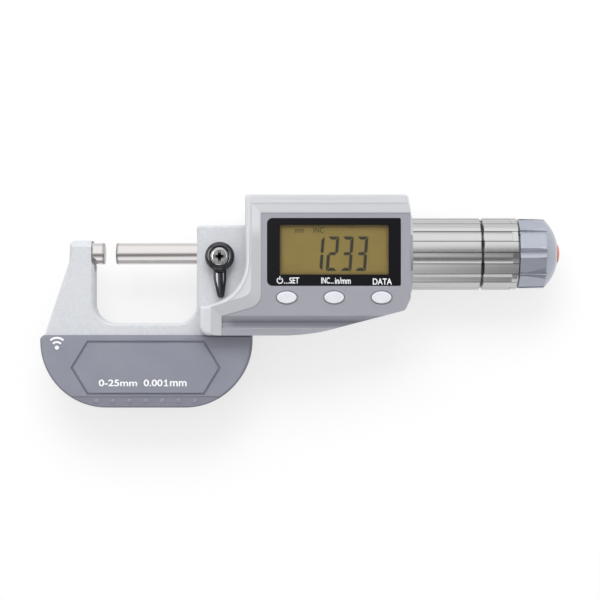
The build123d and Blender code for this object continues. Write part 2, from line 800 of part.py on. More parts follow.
# Encoder
stator_r = encoder_slot_half - 1.0
stator_x1 = encoder_slot_x + encoder_disc
rotor_x0 = stator_x1 + free_gap
rotor_x1 = rotor_x0 + encoder_disc
parts["stator_disc"] = x_tube(encoder_slot_x, stator_x1, stator_r, inner_bore_r)
parts["rotor_disc"] = x_tube(rotor_x0, rotor_x1, stator_r - free_gap, spindle_r + run_gap)
hub = x_tube(rotor_x1, slot_end - free_gap, rotor_hub_r, spindle_r + run_gap)
key_half = keyway_width / 2 - key_gap
key = block(key_x0, key_x1, -key_half, key_half, -rotor_key_r, keyway_depth - spindle_r - key_gap)
parts["rotor_hub"] = hub - key
parts["rotor_key"] = key

# Thimble
thimble = turned(
    (thimble_left, thimble_bore_r),
    (thimble_left, thimble_r - thimble_edge),
    (thimble_left + thimble_edge, thimble_r),
    (thimble_right - thimble_edge, thimble_r),
    (thimble_right, thimble_r - thimble_edge),
    (thimble_right, screw_r - taper_drop),
    (taper_end, screw_r - taper_drop),
    (thimble_bore_end, screw_r),
    (thimble_bore_end, thimble_bore_r),
)
for i in range(flute_count):
    angle = -(flute_turn + 360 / flute_count * i)
    thimble = thimble - flute(thimble_left - 1, thimble_right - flute_end, angle)
ring_groove_x = thimble_right - ring_groove_inset
half_groove = ring_groove_width / 2
parts["thimble"] = thimble - turned(
    (ring_groove_x - half_groove, thimble_r + fine_line / 2),
    (ring_groove_x, thimble_r - ring_groove_depth),
    (ring_groove_x + half_groove, thimble_r + fine_line / 2),
)

# Ratchet
wheel_x1 = thimble_right + wheel_thickness
wheel = x_tube(thimble_right, wheel_x1, ratchet_r, ratchet_screw_r + screw_gap)
parts["ratchet_wheel"] = wheel + face_teeth(wheel_x1, 1)
pawl_x0 = wheel_x1 + 2 * tooth_height + free_gap
pawl_x1 = pawl_x0 + pawl_thickness
pawl = x_tube(pawl_x0, pawl_x1, ratchet_r + slide_gap, ratchet_head_r)
parts["ratchet_pawl"] = pawl + face_teeth(pawl_x0, -1)
spring_x1 = pawl_x1 + spring_rise
parts["spring_washer"] = turned(
    (pawl_x1, spring_outer_r - spring_sheet),
    (pawl_x1, spring_outer_r),
    (spring_x1, spring_inner_r),
    (spring_x1, spring_inner_r - spring_sheet),
    (spring_x1 - spring_sheet, spring_inner_r - spring_sheet),
)
screw_head_x0 = spring_x1 + pawl_thickness
screw_head_x1 = screw_head_x0 + ratchet_head_h
grip_x = taper_end - ratchet_screw_grip
shoulder_x = wheel_x1 + fit_gap
parts["ratchet_screw"] = turned(
    (grip_x, 0), (grip_x, ratchet_screw_r), (shoulder_x, ratchet_screw_r), (shoulder_x, ratchet_shoulder_r),
    (screw_head_x0, ratchet_shoulder_r), (screw_head_x0, ratchet_head_r), (screw_head_x1, ratchet_head_r),
    (screw_head_x1, 0))

# Knob: ten flats with a groove in each, and a dome
knob_left = thimble_right + knob_gap
knob_round_x = knob_left + knob_straight
knob_tip_x = knob_left + knob_length
knob_end_x = knob_tip_x - cap_rise
knob_end_r = cap_r + fit_gap
dome_start = (knob_round_x, knob_r - knob_taper)
dome_middle = (knob_round_x + 0.68 * (knob_end_x - knob_round_x), 0.64 * knob_r)
profile = Polyline((knob_end_x, knob_end_r), (knob_end_x, 0), (knob_left, 0),
                   (knob_left, knob_r - knob_taper), (knob_left + knob_taper, knob_r), dome_start)
profile = profile + ThreePointArc(dome_start, dome_middle, (knob_end_x, knob_end_r))
knob = revolve(make_face(profile), Axis.X)
prism = Plane.YZ * RegularPolygon(knob_flat, flute_count, major_radius=False)
prism = Pos(knob_left, 0, 0) * extrude(around_x(prism, 90), amount=knob_straight + knob_taper)
collar = x_rod(knob_left, knob_round_x + knob_taper, knob_r + 1)
knob = knob - (collar - prism)
for i in range(flute_count):
    groove_r = knob_groove_r
    groove_z = knob_flat + knob_groove_r - knob_groove_depth
    if i == 0:
        groove_r = (knob_wide_groove ** 2 + knob_wide_depth ** 2) / (2 * knob_wide_depth)
        groove_z = knob_flat + groove_r - knob_wide_depth
    line = Pos((knob_left + knob_round_x) / 2, 0, groove_z) * Rot(0, 90, 0) * Cylinder(
        groove_r, knob_straight + knob_taper)
    knob = knob - around_x(line, 360 / flute_count * i)
cap_floor_x = knob_end_x - cap_seat
knob = knob - x_rod(knob_left, pawl_x0, knob_bore_r) - x_rod(pawl_x0, spring_x1, ratchet_r + slide_gap)
knob = knob - x_rod(spring_x1, knob_tip_x, ratchet_shoulder_r + run_gap)
knob = knob - x_rod(screw_head_x0 - free_gap, cap_floor_x, ratchet_head_r + free_gap)
parts["knob"] = knob - x_rod(cap_floor_x, knob_tip_x, cap_r)
parts["knob_end_cap"] = turned(
    (cap_floor_x, 0),
    (cap_floor_x, cap_r),
    (knob_end_x + 0.3 * cap_rise, cap_r),
    (knob_end_x + 0.7 * cap_rise, 0.75 * cap_r),
    (knob_end_x + 0.93 * cap_rise, 0.4 * cap_r),
    (knob_tip_x, 0),
)

# Lock lever
hub_z0 = half_frame + lever_lift
hub_z1 = hub_z0 + lever_thickness
stud_z0 = spindle_r + lock_gap
sink_z = hub_z1 - lock_screw_sink
parts["lock_shoe"] = z_rod(lever_x, lever_y, 0, stud_z0 - slide_gap, stud_r) - x_rod(
    lever_x - 2 * stud_r, lever_x + 2 * stud_r, spindle_r + run_gap)
parts["lock_stud"] = z_rod(lever_x, lever_y, stud_z0, sink_z, stud_r) - z_rod(
    lever_x, lever_y, stud_z0 + lock_gap, hub_z1, lock_screw_r)
hub_body = z_rod(lever_x, lever_y, hub_z0, hub_z1, lever_hub_r)
hub_body = fillet(hub_body.edges().group_by(Axis.Z)[-1], lever_hub_r - lever_lip_r)
tip_y = lever_y - lever_reach
waist_y = lever_y - lever_waist
arm_points = [
    (lever_x - lever_root, lever_y),
    (lever_x + lever_root, lever_y),
    (lever_x + lever_root, waist_y),
    (lever_x + 0.65 * lever_root, tip_y),
    (lever_x - 0.25 * lever_root, tip_y),
    (lever_x - 0.9 * lever_root, waist_y),
]
arm_round = lever_bevel + 0.05
arm = slab(rounded(arm_points, [0, 0, lever_waist - 1, arm_round, arm_round, lever_waist - 1]), hub_z0,
           hub_z1 - 0.6)
arm = chamfer(arm.edges().group_by(Axis.Z)[-1], lever_bevel)
lever = hub_body + arm - z_rod(lever_x, lever_y, hub_z0, sink_z, stud_r)
parts["lock_lever"] = lever - z_rod(lever_x, lever_y, sink_z, hub_z1, lever_well_r)
parts["lock_screw"] = cross_screw(lever_x, lever_y, sink_z + lock_screw_head_h, lock_screw_head_r,
                                  lock_screw_head_h, lock_screw_r, stud_z0 + lock_gap + fit_gap, up=-1)

# Housing shells and their screws
parts["front_housing"] = make_front_housing()
parts["rear_housing"] = make_rear_housing()
parts["housing_screws"] = Compound(children=[
    cross_screw(x, y, housing_screw_sink - housing_half_depth, housing_screw_head_r, housing_screw_head_h,
                housing_screw_r, screw_top) for x, y in housing_screw_spots])

# Display stack
board = block(board_x0, board_x1, board_y0, board_y1, board_bottom, board_top)
for x, y in board_screw_spots:
    board = board - z_rod(x, y, board_bottom, board_top, board_screw_r + slide_gap)
parts["circuit_board"] = board
parts["board_screws"] = Compound(children=[
    cross_screw(x, y, board_bottom - board_screw_head_h, board_screw_head_r, board_screw_head_h,
                board_screw_r, inner_front_z - 2 * fit_gap) for x, y in board_screw_spots])
lcd_x0 = window_left + lcd_inset
lcd_x1 = board_x1 - slide_gap
lcd_y0 = window_top - window_height + lcd_inset_bottom
lcd_y1 = window_top - lcd_inset_top
light_inset = contact_width + 0.4
parts["backlight"] = block(lcd_x0 + 0.6, lcd_x1 - 0.6, lcd_y0 + light_inset, lcd_y1 - light_inset, board_top,
                           light_top)
parts["lcd_panel"] = block(lcd_x0, lcd_x1, lcd_y0, lcd_y1, light_top, lcd_top)
contact_ys = (lcd_y0 + slide_gap, lcd_y1 - slide_gap - contact_width)
parts["lcd_contacts"] = Compound(children=[
    block(lcd_x0 + 1, lcd_x1 - 1, y, y + contact_width, board_top, light_top) for y in contact_ys])
parts["display_window"] = slab(window_sketch(0), window_z0, window_z1)
membrane_top = board_top + membrane_thickness
membrane = block(board_x0 + membrane_inset, board_x1 - slide_gap, board_y0, membrane_y1, board_top,
                 membrane_top)
for x, y in board_screw_spots:
    membrane = membrane - z_rod(x, y, board_top, membrane_top, board_post_r + screw_gap)
cap_flange_z1 = inner_front_z - slide_gap
cap_z0 = cap_flange_z1 - button_flange_h
dome_top = cap_z0 - button_travel - screw_gap
for name, x in zip(button_names, button_xs):
    membrane = membrane + z_rod(x, button_y, membrane_top, dome_top, dome_r)
    cap = slab(button_sketch(x, 0), cap_z0, recess_z + button_proud)
    cap = fillet(cap.edges().group_by(Axis.Z)[-1], button_edge)
    parts[name] = cap + slab(button_sketch(x, button_flange), cap_z0, cap_flange_z1)
parts["keypad_membrane"] = membrane
radio_y = board_y0 + 0.3
parts["radio_module"] = block(radio_x, radio_x + radio_length, radio_y, radio_y + radio_height,
                              board_bottom - radio_thickness, board_bottom)

# Battery
back = -housing_half_depth
place = Pos(cell_x, cell_y, 0)
parts["coin_cell"] = z_rod(cell_x, cell_y, cell_z0, cell_z1, cell_d / 2)
parts["battery_contacts"] = place * block(-strip_half, strip_half, -contact_half, contact_half, cell_z1,
                                          cell_z1 + contact_sheet)
cover = z_rod(cell_x, cell_y, back, cover_top, cover_r)
cover = cover - place * block(-cover_slot_half, cover_slot_half, -cover_slot_width / 2, cover_slot_width / 2,
                              back, back + cover_slot_depth)
lugs = slab(cover_lugs(0), back + lug_z, back + lug_z + lug_thickness) - z_rod(0, 0, back, 0, cover_r)
cover = cover + place * Rot(0, 0, -cover_turn) * lugs
seal_groove_r = cover_r - seal_inset
groove_z = cover_top - 2 * seal_section_r
groove = z_rod(cell_x, cell_y, groove_z, cover_top, seal_groove_r + free_gap)
groove = groove - z_rod(cell_x, cell_y, groove_z, cover_top, seal_groove_r - free_gap)
parts["battery_cover"] = cover - groove
parts["battery_seal"] = Pos(cell_x, cell_y, cover_top - seal_section_r) * Torus(seal_groove_r, seal_section_r)

os.makedirs("parts", exist_ok=True)
for name, shape in parts.items():
    export_step(shape, "parts/" + name + ".step")
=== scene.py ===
# %% [markdown]
# # Dressing a digital outside micrometer
#
# The packed model already holds every rigid piece of the instrument at its real size and
# place, in metres. The origin is the middle of the anvil's measuring face, +X runs along
# the spindle and +Z comes up out of the display. So nothing here is moved or resized.
# This script gives each piece its finish and adds what has no thickness worth machining:
# printed ink and the segments of the liquid crystal.

# %% Load the frame
import math

import bmesh
import bpy
from mathutils import Matrix, Vector


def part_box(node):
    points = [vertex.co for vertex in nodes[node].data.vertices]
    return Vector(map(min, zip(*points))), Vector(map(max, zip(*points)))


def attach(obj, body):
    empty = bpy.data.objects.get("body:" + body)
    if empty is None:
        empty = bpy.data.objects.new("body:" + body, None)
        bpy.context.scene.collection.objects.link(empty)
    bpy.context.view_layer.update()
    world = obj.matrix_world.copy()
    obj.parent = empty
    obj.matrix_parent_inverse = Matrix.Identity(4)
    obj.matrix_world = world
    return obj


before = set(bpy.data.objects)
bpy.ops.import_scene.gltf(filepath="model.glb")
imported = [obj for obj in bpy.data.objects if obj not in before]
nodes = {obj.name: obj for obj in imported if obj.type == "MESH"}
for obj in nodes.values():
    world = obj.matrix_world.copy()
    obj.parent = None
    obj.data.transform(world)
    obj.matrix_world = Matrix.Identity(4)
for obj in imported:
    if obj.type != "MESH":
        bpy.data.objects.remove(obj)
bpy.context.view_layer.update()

MM = 0.001

# %% [markdown]
# ## The camera
#
# The instrument is seen from straight above, from about 60 cm. At that distance a
# cylinder's far rings still bend a little, which is how the groove of the thimble looks
# curved. The lens follows from the width that the picture shows at the spindle's height.

# %% Camera
camera_height = 600 * MM
picture_width = 182.93 * MM
view_centre = Vector((59.36, -14.1, 0)) * MM

lens = bpy.data.cameras.new("overhead")
lens.sensor_width = 36
lens.lens = lens.sensor_width * camera_height / picture_width
camera = bpy.data.objects.new("overhead", lens)
camera.location = view_centre + Vector((0, 0, camera_height))
bpy.context.scene.collection.objects.link(camera)
bpy.context.scene.camera = camera
bpy.context.scene.view_settings.view_transform = "Standard"
print("lens", round(lens.lens, 1), "mm")

# %% [markdown]
# ## Writing materials as sums
#
# A material is a net of nodes, and most of them are plain arithmetic. Wiring those by
# hand hides the idea, so one small class wraps an output of the net. Python's own signs
# then add the Math nodes, on either side of a number, and one method adds any other node.
# Two masks come up again and again, so they have names too: above an edge, and near a
# middle.

# %% The wire
class Wire:
    """One output of a net of nodes, which Python's signs work on."""

    def __init__(self, tree, socket=None):
        self.tree = tree
        self.socket = socket

    def add(self, kind, settings=None, inputs=None, output=0):
        """Adds a node, sets it up, feeds its inputs with values or wires, and gives one output."""
        node = self.tree.nodes.new("ShaderNode" + kind)
        for name, value in (settings or {}).items():
            if name == "stops":
                ramp = node.color_ramp.elements
                while len(ramp) < len(value):
                    ramp.new(1)
                for element, (position, level) in zip(ramp, value):
                    element.position = position
                    element.color = (level, level, level, 1)
            else:
                setattr(node, name, value)
        for name, value in (inputs or {}).items():
            if isinstance(value, Wire):
                self.tree.links.new(value.socket, node.inputs[name])
            else:
                node.inputs[name].default_value = value
        return Wire(self.tree, node.outputs[output])

    def math(self, operation, first, second, clamp=False):
        settings = {"operation": operation, "use_clamp": clamp}
        return self.add("Math", settings, {0: first, 1: second})

    def __add__(self, other):
        return self.math("ADD", self, other)

    def __sub__(self, other):
        return self.math("SUBTRACT", self, other)

    def __rsub__(self, other):
        return self.math("SUBTRACT", other, self)

    def __mul__(self, other):
        return self.math("MULTIPLY", self, other)

    def __truediv__(self, other):
        return self.math("DIVIDE", self, other)

    def __rtruediv__(self, other):
        return self.math("DIVIDE", other, self)

    def __pow__(self, other):
        return self.math("POWER", self, other)

    def __rpow__(self, other):
        return self.math("POWER", other, self)

    def __abs__(self):
        return self.math("ABSOLUTE", self, 0)

    __radd__ = __add__
    __rmul__ = __mul__

    def least(self, other):
        """The smaller of two values."""
        return self.math("MINIMUM", self, other)

    def most(self, other):
        """The larger of two values."""
        return self.math("MAXIMUM", self, other)

    def above(self, edge, soft):
        """1 where the value is over the edge and 0 below it, with a ramp of width soft between."""
        return self.math("ADD", (self - edge) / soft, 0.5, clamp=True)

    def near(self, middle, half, soft):
        """1 within half of the middle and 0 further off, with a ramp of width soft between."""
        return 1 - abs(self - middle).above(half, soft)

    def mix(self, first, second):
        """Colour that goes from first to second as this value goes from 0 to 1."""
        return self.add("Mix", {"data_type": "RGBA"}, {0: self, 6: first, 7: second}, output=2)


signs = [name for name in vars(Wire) if name in vars(float) and name != "__doc__"]
print("signs:", " ".join(signs))

# %% [markdown]
# ## Shades, places and small patterns
#
# Shades are given on the scale of 0 to 255 and turned into the linear numbers that a shader wants.
# Every pattern is laid out in millimetres of the real piece, so its grain has the right size, and
# it stays on the piece when the piece moves.

# %% Shades
def shade(red, green, blue):
    """Linear colour of a shade read from 0 to 255."""
    parts = [value / 255 for value in (red, green, blue)]
    linear = [((p + 0.055) / 1.055) ** 2.4 if p > 0.04045 else p / 12.92 for p in parts]
    return tuple(linear + [1])


def scaled(colour, factor):
    """The same colour, lighter or darker."""
    return tuple([min(part * factor, 1) for part in colour[:3]] + [1])


print("mid grey reads", [round(part, 3) for part in shade(128, 128, 128)[:3]])

# %% Places and patterns
def place(net):
    """Place on the piece in millimetres."""
    metres = net.add("TexCoord", output="Object")
    return net.add("VectorMath", {"operation": "SCALE"}, {0: metres, "Scale": 1 / MM})


def split(net, vector):
    """The three parts of a vector."""
    return [net.add("SeparateXYZ", None, {0: vector}, output=axis) for axis in "XYZ"]


def stretch(net, vector, factors):
    """Places with each axis multiplied. A small factor draws a pattern out along it."""
    return net.add("VectorMath", {"operation": "MULTIPLY"}, {0: vector, 1: factors})


def noise(net, vector, size, detail=2):
    """Cloudy value from 0 to 1 with patches about as wide as size in millimetres."""
    return net.add("TexNoise", None, {"Vector": vector, "Scale": 1 / size, "Detail": detail})


def dents(net, height, depth):
    """Normal of a surface whose height value stands for depth in millimetres."""
    return net.add("Bump", None, {"Height": height, "Distance": depth * MM, "Strength": 1.0})


print("one millimetre is", MM, "m")

# %% Making a material
def make(name, design, **plain):
    """Material with a Principled shader. Plain sockets are set once, and design gives the rest."""
    material = bpy.data.materials.new(name)
    material.use_nodes = True
    tree = material.node_tree
    shader = tree.nodes["Principled BSDF"]
    for socket, value in plain.items():
        shader.inputs[socket.replace("_", " ")].default_value = value
    for socket, value in design(Wire(tree)).items():
        if isinstance(value, Wire):
            tree.links.new(value.socket, shader.inputs[socket])
        else:
            shader.inputs[socket].default_value = value
    print(name, "has", len(tree.nodes), "nodes")
    return material


def dress(material, *names):
    """Gives packed pieces a finish."""
    for name in names:
        slots = nodes[name].data.materials
        slots.clear()
        slots.append(material)


print("undressed pieces:", len(nodes))

# %% [markdown]
# ## Cast and enamelled frame
#
# The bow is cast iron under a light grey stove enamel. Such enamel shrinks as it dries
# and leaves soft pits and lighter veins about a millimetre wide. Two noises make it: a
# coarse one for the veins, which also moves the gloss, and a fine one for the grain.
# A narrow ring where the anvil comes out of the arm is painted darker, as painted shade of the gap
# there.

# %% Enamel
shade_ring_plane = -3.9
shade_ring_half = 0.45
shade_ring_radius_squared = 17


def enamel(net):
    here = place(net)
    veins = noise(net, here, 0.9, 3)
    clouds = noise(net, here, 7.0)
    grain = noise(net, here, 0.28)
    colour = veins.above(0.5, 0.5).mix(shade(193, 196, 201), shade(207, 210, 213))
    colour = (clouds.above(0.5, 0.4) * 0.6).mix(colour, shade(205, 205, 209))
    along, across, up = split(net, here)
    # Painted shade: a dark ring where the anvil leaves the arm.
    off_axis = (across * across + up * up).above(shade_ring_radius_squared, 1.0)
    painted_dark = along.near(shade_ring_plane, shade_ring_half, 0.2).least(1 - off_axis)
    return {
        "Base Color": painted_dark.mix(colour, shade(112, 112, 112)),
        "Roughness": 0.42 + 0.12 * grain,
        "Normal": dents(net, veins + 0.25 * grain, 0.012),
    }


dress(make("enamel", enamel, Coat_Weight=0.15, Coat_Roughness=0.25), "frame")

# %% [markdown]
# ## Moulded grips
#
# The two plates that keep the hand's warmth off the frame are moulded in a dark blue grey plastic.
# The tool that made them was spark eroded, so the skin is an even, very fine grain, and the fingers
# have polished it in faint patches. The engraved line is painted darker, as painted shade in its
# groove, and is told from the rest by its depth under the face.

# %% Grip plastic
grip_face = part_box("front_heat_plate")[1].z / MM
engraving_top = grip_face - 0.3
engraving_floor = grip_face - 0.5


def grip(net):
    here = place(net)
    grain = noise(net, here, 0.16, 3)
    rubbed = noise(net, here, 9.0, 3)
    colour = grain.above(0.5, 0.7).mix(shade(122, 124, 137), shade(137, 139, 151))
    colour = (rubbed.above(0.55, 0.3) * 0.25).mix(colour, shade(144, 146, 157))
    height = split(net, here)[2]
    # Painted shade in the engraved line.
    engraving_shade = height.above(engraving_floor, 0.05) * (1 - height.above(engraving_top, 0.05))
    return {
        "Base Color": (engraving_shade * 0.5).mix(colour, shade(72, 74, 84)),
        "Roughness": 0.5 - 0.12 * rubbed,
        "Normal": dents(net, grain, 0.012),
    }


dress(make("grip_plastic", grip), "front_heat_plate", "rear_heat_plate")

# %% [markdown]
# ## Ground, turned and lapped metal
#
# Every round piece was cut while it spun, so its marks run round the spindle's axis. The
# same noise does all of them: squeezed along X and drawn out across it, it becomes fine
# rings. Only their depth, the gloss and the shade tell a ground spindle from a thimble.

# %% Rings round the spindle
def rings(net, here, width):
    """Fine rings round the X axis."""
    drawn_out = stretch(net, here, (1, 0.03, 0.03))
    return noise(net, drawn_out, width, 3)


def turned(colour, roughness, depth, width=0.12):
    """Design of a turned surface with marks about as wide as width in millimetres."""
    def design(net):
        here = place(net)
        marks = rings(net, here, width)
        broad = rings(net, here, 2.4)
        return {
            "Base Color": marks.mix(scaled(colour, 0.94), scaled(colour, 1.05)),
            "Roughness": roughness - 0.04 + 0.05 * marks + 0.05 * broad,
            "Normal": dents(net, marks, depth),
        }
    return design


polished_steel = shade(207, 203, 202)
ground = make("ground_steel", turned(polished_steel, 0.08, 0.0005, 0.06), Metallic=1.0)
dress(ground, "anvil", "lock_stud", "rotor_key", "ratchet_wheel", "ratchet_pawl", "spring_washer")
satin = make("satin_steel", turned(shade(191, 191, 189), 0.24, 0.0008), Metallic=1.0)
dress(satin, "outer_sleeve", "inner_sleeve")
carbide = make("lapped_carbide", turned(shade(168, 165, 163), 0.24, 0.0008, 0.05), Metallic=1.0)
dress(carbide, "anvil_tip", "spindle_tip")

# %% [markdown]
# ## Edges of the flutes
#
# Ten flutes are milled along the thimble. A dark line of painted shade runs along their edges,
# which lie nine degrees either side of the middle of each flute, and in the ring groove. The angle
# round X, folded onto one flute, tells how far a place is from such an edge.

# %% Fluted thimble
flute_pitch = 36.0
flute_turn = 8.4
flute_edge = 9.0
groove_place = 114.2
edge_shade_grey = shade(60, 60, 62)


def fluted_steel(net):
    here = place(net)
    along, across, up = split(net, here)
    marks = rings(net, here, 0.12)
    broad = rings(net, here, 2.4)
    angle = net.math("ARCTAN2", across, up) * (180 / math.pi)
    from_flute = abs(net.math("PINGPONG", angle + flute_turn + 360, flute_pitch / 2))
    # Painted shade: dark lines along the flute edges and in the ring groove.
    flute_edge_shade = from_flute.near(flute_edge, 0.7, 0.8)
    ring_groove_shade = along.near(groove_place, 0.42, 0.3)
    colour = shade(190, 191, 190)
    steel = marks.mix(scaled(colour, 0.97), scaled(colour, 1.03))
    return {
        "Base Color": (flute_edge_shade * 0.8).most(ring_groove_shade * 0.7).mix(steel, edge_shade_grey),
        "Roughness": 0.11 + 0.03 * marks + 0.04 * broad,
        "Normal": dents(net, marks, 0.0004),
    }


dress(make("fluted_steel", fluted_steel, Metallic=1.0), "thimble")

# %% [markdown]
# ## The spindle's thread
#
# The spindle is ground on its front half, and behind that it carries a thread with a
# pitch of half a millimetre, which runs hidden in its nut. A thread that fine is too
# small for a mesh of its own, so it is a wave along X in the height of the surface.

# %% Threaded spindle
thread_pitch = 0.5
thread_start = 78.6


def spindle_steel(net):
    here = place(net)
    along = split(net, here)[0]
    marks = rings(net, here, 0.06)
    wave = net.math("PINGPONG", along / thread_pitch, 0.5) * 2
    threaded = along.above(thread_start, 0.1)
    return {
        "Base Color": marks.mix(scaled(polished_steel, 0.94), scaled(polished_steel, 1.05)),
        "Roughness": 0.07 + 0.03 * marks + 0.15 * threaded,
        "Normal": dents(net, 0.002 * marks + threaded * wave, 0.2),
    }


dress(make("spindle_steel", spindle_steel, Metallic=1.0), "spindle")

# %% [markdown]
# ## Silver housing
#
# The two shells round the electronics are moulded and sprayed with a silver lacquer,
# whose flakes give a faint sparkle. The sunken field round the display has a darker,
# bluer coat. It is told from the rest by its height and by facing up: all of it lies at
# the floor of the recess, which is 1.4 mm below the rim, or in the channel under that.
# The shelf along the channel is painted darker still, as painted shade in the channel, and the
# slope above the display is painted paler, as a painted highlight.

# %% Where the two coats lie
rim_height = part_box("front_housing")[1].z / MM
field_height = rim_height - 1.4
channel_height = field_height - 2
field_left = 36.0
shelf_middle = -21.1
print("rim at", round(rim_height, 2), "mm, field at", round(field_height, 2), "mm")

# %% Lacquer
silver = shade(199, 200, 204)
field_blue = shade(151, 151, 160)
shelf_shade_colour = shade(88, 90, 98)


def sprayed(mist, colour):
    """Coat of one colour that haze and flakes make a little uneven."""
    return mist.mix(scaled(colour, 0.95), scaled(colour, 1.05))


def coats_and_painted_light(net, here, mist):
    """Silver, and blue grey on what lies in the recess and faces up."""
    along, across, height = split(net, here)
    facing_up = split(net, net.add("TexCoord", output="Normal"))[2].above(0.3, 0.1)
    low = (1 - height.above(field_height + 0.12, 0.12)) * height.above(channel_height, 0.1)
    sunk = low * facing_up * along.above(field_left - 0.1, 0.1)
    # Painted shade: the shelf along the channel is darker.
    painted_shelf_shade = 0.72 * across.near(shelf_middle, 1.1, 1.3) * along.above(field_left + 2, 4)
    slope = height.above(field_height + 0.25, 0.15) * (1 - height.above(rim_height - 0.12, 0.1))
    # Painted highlight: the slope above the display is paler.
    slope_highlight = slope * across.above(6, 4) * along.above(43.5, 1)
    silver_with_highlight = slope_highlight.mix(sprayed(mist, silver), scaled(silver, 1.3))
    return sunk.mix(silver_with_highlight, painted_shelf_shade.mix(sprayed(mist, field_blue), shelf_shade_colour))


def lacquer(net, two_tone):
    here = place(net)
    cells = net.add("TexVoronoi", None, {"Vector": here, "Scale": 9.0}, output="Color")
    sparkle = split(net, cells)[0]
    haze = noise(net, here, 14.0)
    mist = 0.5 * haze + 0.5 * sparkle
    return {
        "Base Color": coats_and_painted_light(net, here, mist) if two_tone else sprayed(mist, silver),
        "Roughness": 0.36 + 0.1 * haze,
        "Metallic": 0.15 + 0.15 * sparkle,
        "Normal": dents(net, noise(net, here, 0.35), 0.004),
    }


dress(make("two_tone_lacquer", lambda net: lacquer(net, True)), "front_housing")
dress(make("silver_lacquer", lambda net: lacquer(net, False)), "rear_housing")

# %% [markdown]
# ## Knob, end cap and battery cover
#
# The ratchet knob is moulded in a blue grey plastic with a satin, slightly metallic
# pigment, which is why its flats flash from pale to dark. The disc in its end is clear
# orange red, and the battery cover on the back is the same plastic as the knob.

# %% Pigmented plastics
def pigmented(colour, roughness):
    """Design of a plastic whose pigment has settled in faint swirls."""
    def design(net):
        here = place(net)
        grain = noise(net, here, 0.2)
        swirl = noise(net, here, 4.0, 3)
        return {
            "Base Color": swirl.mix(scaled(colour, 0.93), scaled(colour, 1.06)),
            "Roughness": roughness + 0.06 * grain,
            "Normal": dents(net, grain, 0.004),
        }
    return design


knob_plastic = make("knob_plastic", pigmented(shade(167, 171, 183), 0.2), Metallic=0.7)
dress(knob_plastic, "knob", "battery_cover")
dress(make("cap_plastic", pigmented(shade(232, 108, 74), 0.25), Coat_Weight=0.5), "knob_end_cap")
key_white = make("key_plastic", pigmented(shade(216, 217, 224), 0.28), Coat_Weight=0.4)
dress(key_white, "set_button", "mode_button", "data_button")

# %% [markdown]
# ## Screws
#
# The screws are plain nickel plate, a little wavy like orange peel and scuffed by the driver. The
# lever's screw is painted black in its cross, as painted shade in the recess, which is told by its
# depth under the head and its distance from the middle.

# %% Nickel plate
def plated(colour, roughness, painted_shade=None):
    """Design of a plated surface. A function may say where old oil has made it dark."""
    def design(net):
        here = place(net)
        orange_peel = noise(net, here, 1.2, 2)
        scuffs = noise(net, stretch(net, here, (1, 6, 1)), 0.9, 4).above(0.72, 0.1)
        metal = scuffs.mix(colour, scaled(colour, 1.15))
        # Painted shade where the given function says.
        if painted_shade:
            metal = painted_shade(net, here).mix(metal, shade(14, 14, 15))
        return {
            "Base Color": metal,
            "Roughness": roughness + 0.03 * orange_peel + 0.1 * scuffs,
            "Normal": dents(net, orange_peel, 0.002),
        }
    return design


nickel_grey = shade(177, 177, 177)
nickel = make("nickel", plated(nickel_grey, 0.14), Metallic=1.0)
dress(nickel, "housing_screws", "heat_plate_screws", "board_screws", "ratchet_screw", "coin_cell")

# %% Screw with painted shade in its cross
hub_centre = (35.2, -1.0)
screw_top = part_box("lock_screw")[1].z / MM
cross_depth = 0.7


def round_hub(net, here):
    """Place beside the lever's screw, to the right and upward, and how far from it that is."""
    right, upward, height = split(net, here)
    right, upward = right - hub_centre[0], upward - hub_centre[1]
    return right, upward, (right * right + upward * upward) ** 0.5


def cross_shade(net, here):
    # Painted shade in the cross of the lever's screw.
    low = 1 - split(net, here)[2].above(screw_top - cross_depth, 0.1)
    return low * (1 - 0.6 * round_hub(net, here)[2].above(1.15, 0.5))


painted_dark = make("nickel_with_painted_shade", plated(nickel_grey, 0.12, cross_shade), Metallic=1.0)
dress(painted_dark, "lock_screw")

# %% [markdown]
# ## Lock lever
#
# The lever is cast, polished and plated in black nickel, a dark mirror. Polishing has
# rounded its top: a low ridge runs round the hub and another along the arm, a third of a
# millimetre high at most. The packed mesh is flat there, so a bump tilts its surface.
# Nothing bright is painted on: the ridges catch the narrow lights of the studio, and the
# streaks are theirs.

# %% Black lever
ring_middle = 3.75
ring_half = 1.0
ring_swell = 0.11
arm_start = 4.9
arm_half = 2.1
arm_swell = 0.36


def black_mirror(net):
    here = place(net)
    right, upward, reach = round_hub(net, here)
    cloud = noise(net, here, 1.2)
    on_arm = reach.above(arm_start, 0.3)
    ring = (1 - ((reach - ring_middle) / ring_half) ** 2).most(0)
    arm = (1 - ((right + 0.03 * upward) / arm_half) ** 2).most(0)
    swell = ring * ring_swell * (1 - on_arm) + arm * arm_swell * on_arm
    return {
        "Base Color": cloud.mix(shade(72, 72, 76), shade(82, 82, 86)),
        "Roughness": 0.06 + 0.04 * cloud,
        "Normal": dents(net, swell, 1.0),
    }


dress(make("black_nickel", black_mirror, Metallic=1.0), "lock_lever")

# %% [markdown]
# ## Hidden materials
#
# Nothing inside the shells shows while they are closed, but each piece still gets the
# finish that someone who opens them would find: brass, black rubber, a green board with
# its tracks, copper combs on the two discs that measure the turn, and a milky light guide.

# %% Brass and rubber
brass = make("brass", turned(shade(205, 170, 105), 0.25, 0.002), Metallic=1.0)
dress(brass, "lock_shoe", "adjusting_nut", "rotor_hub", "battery_contacts")


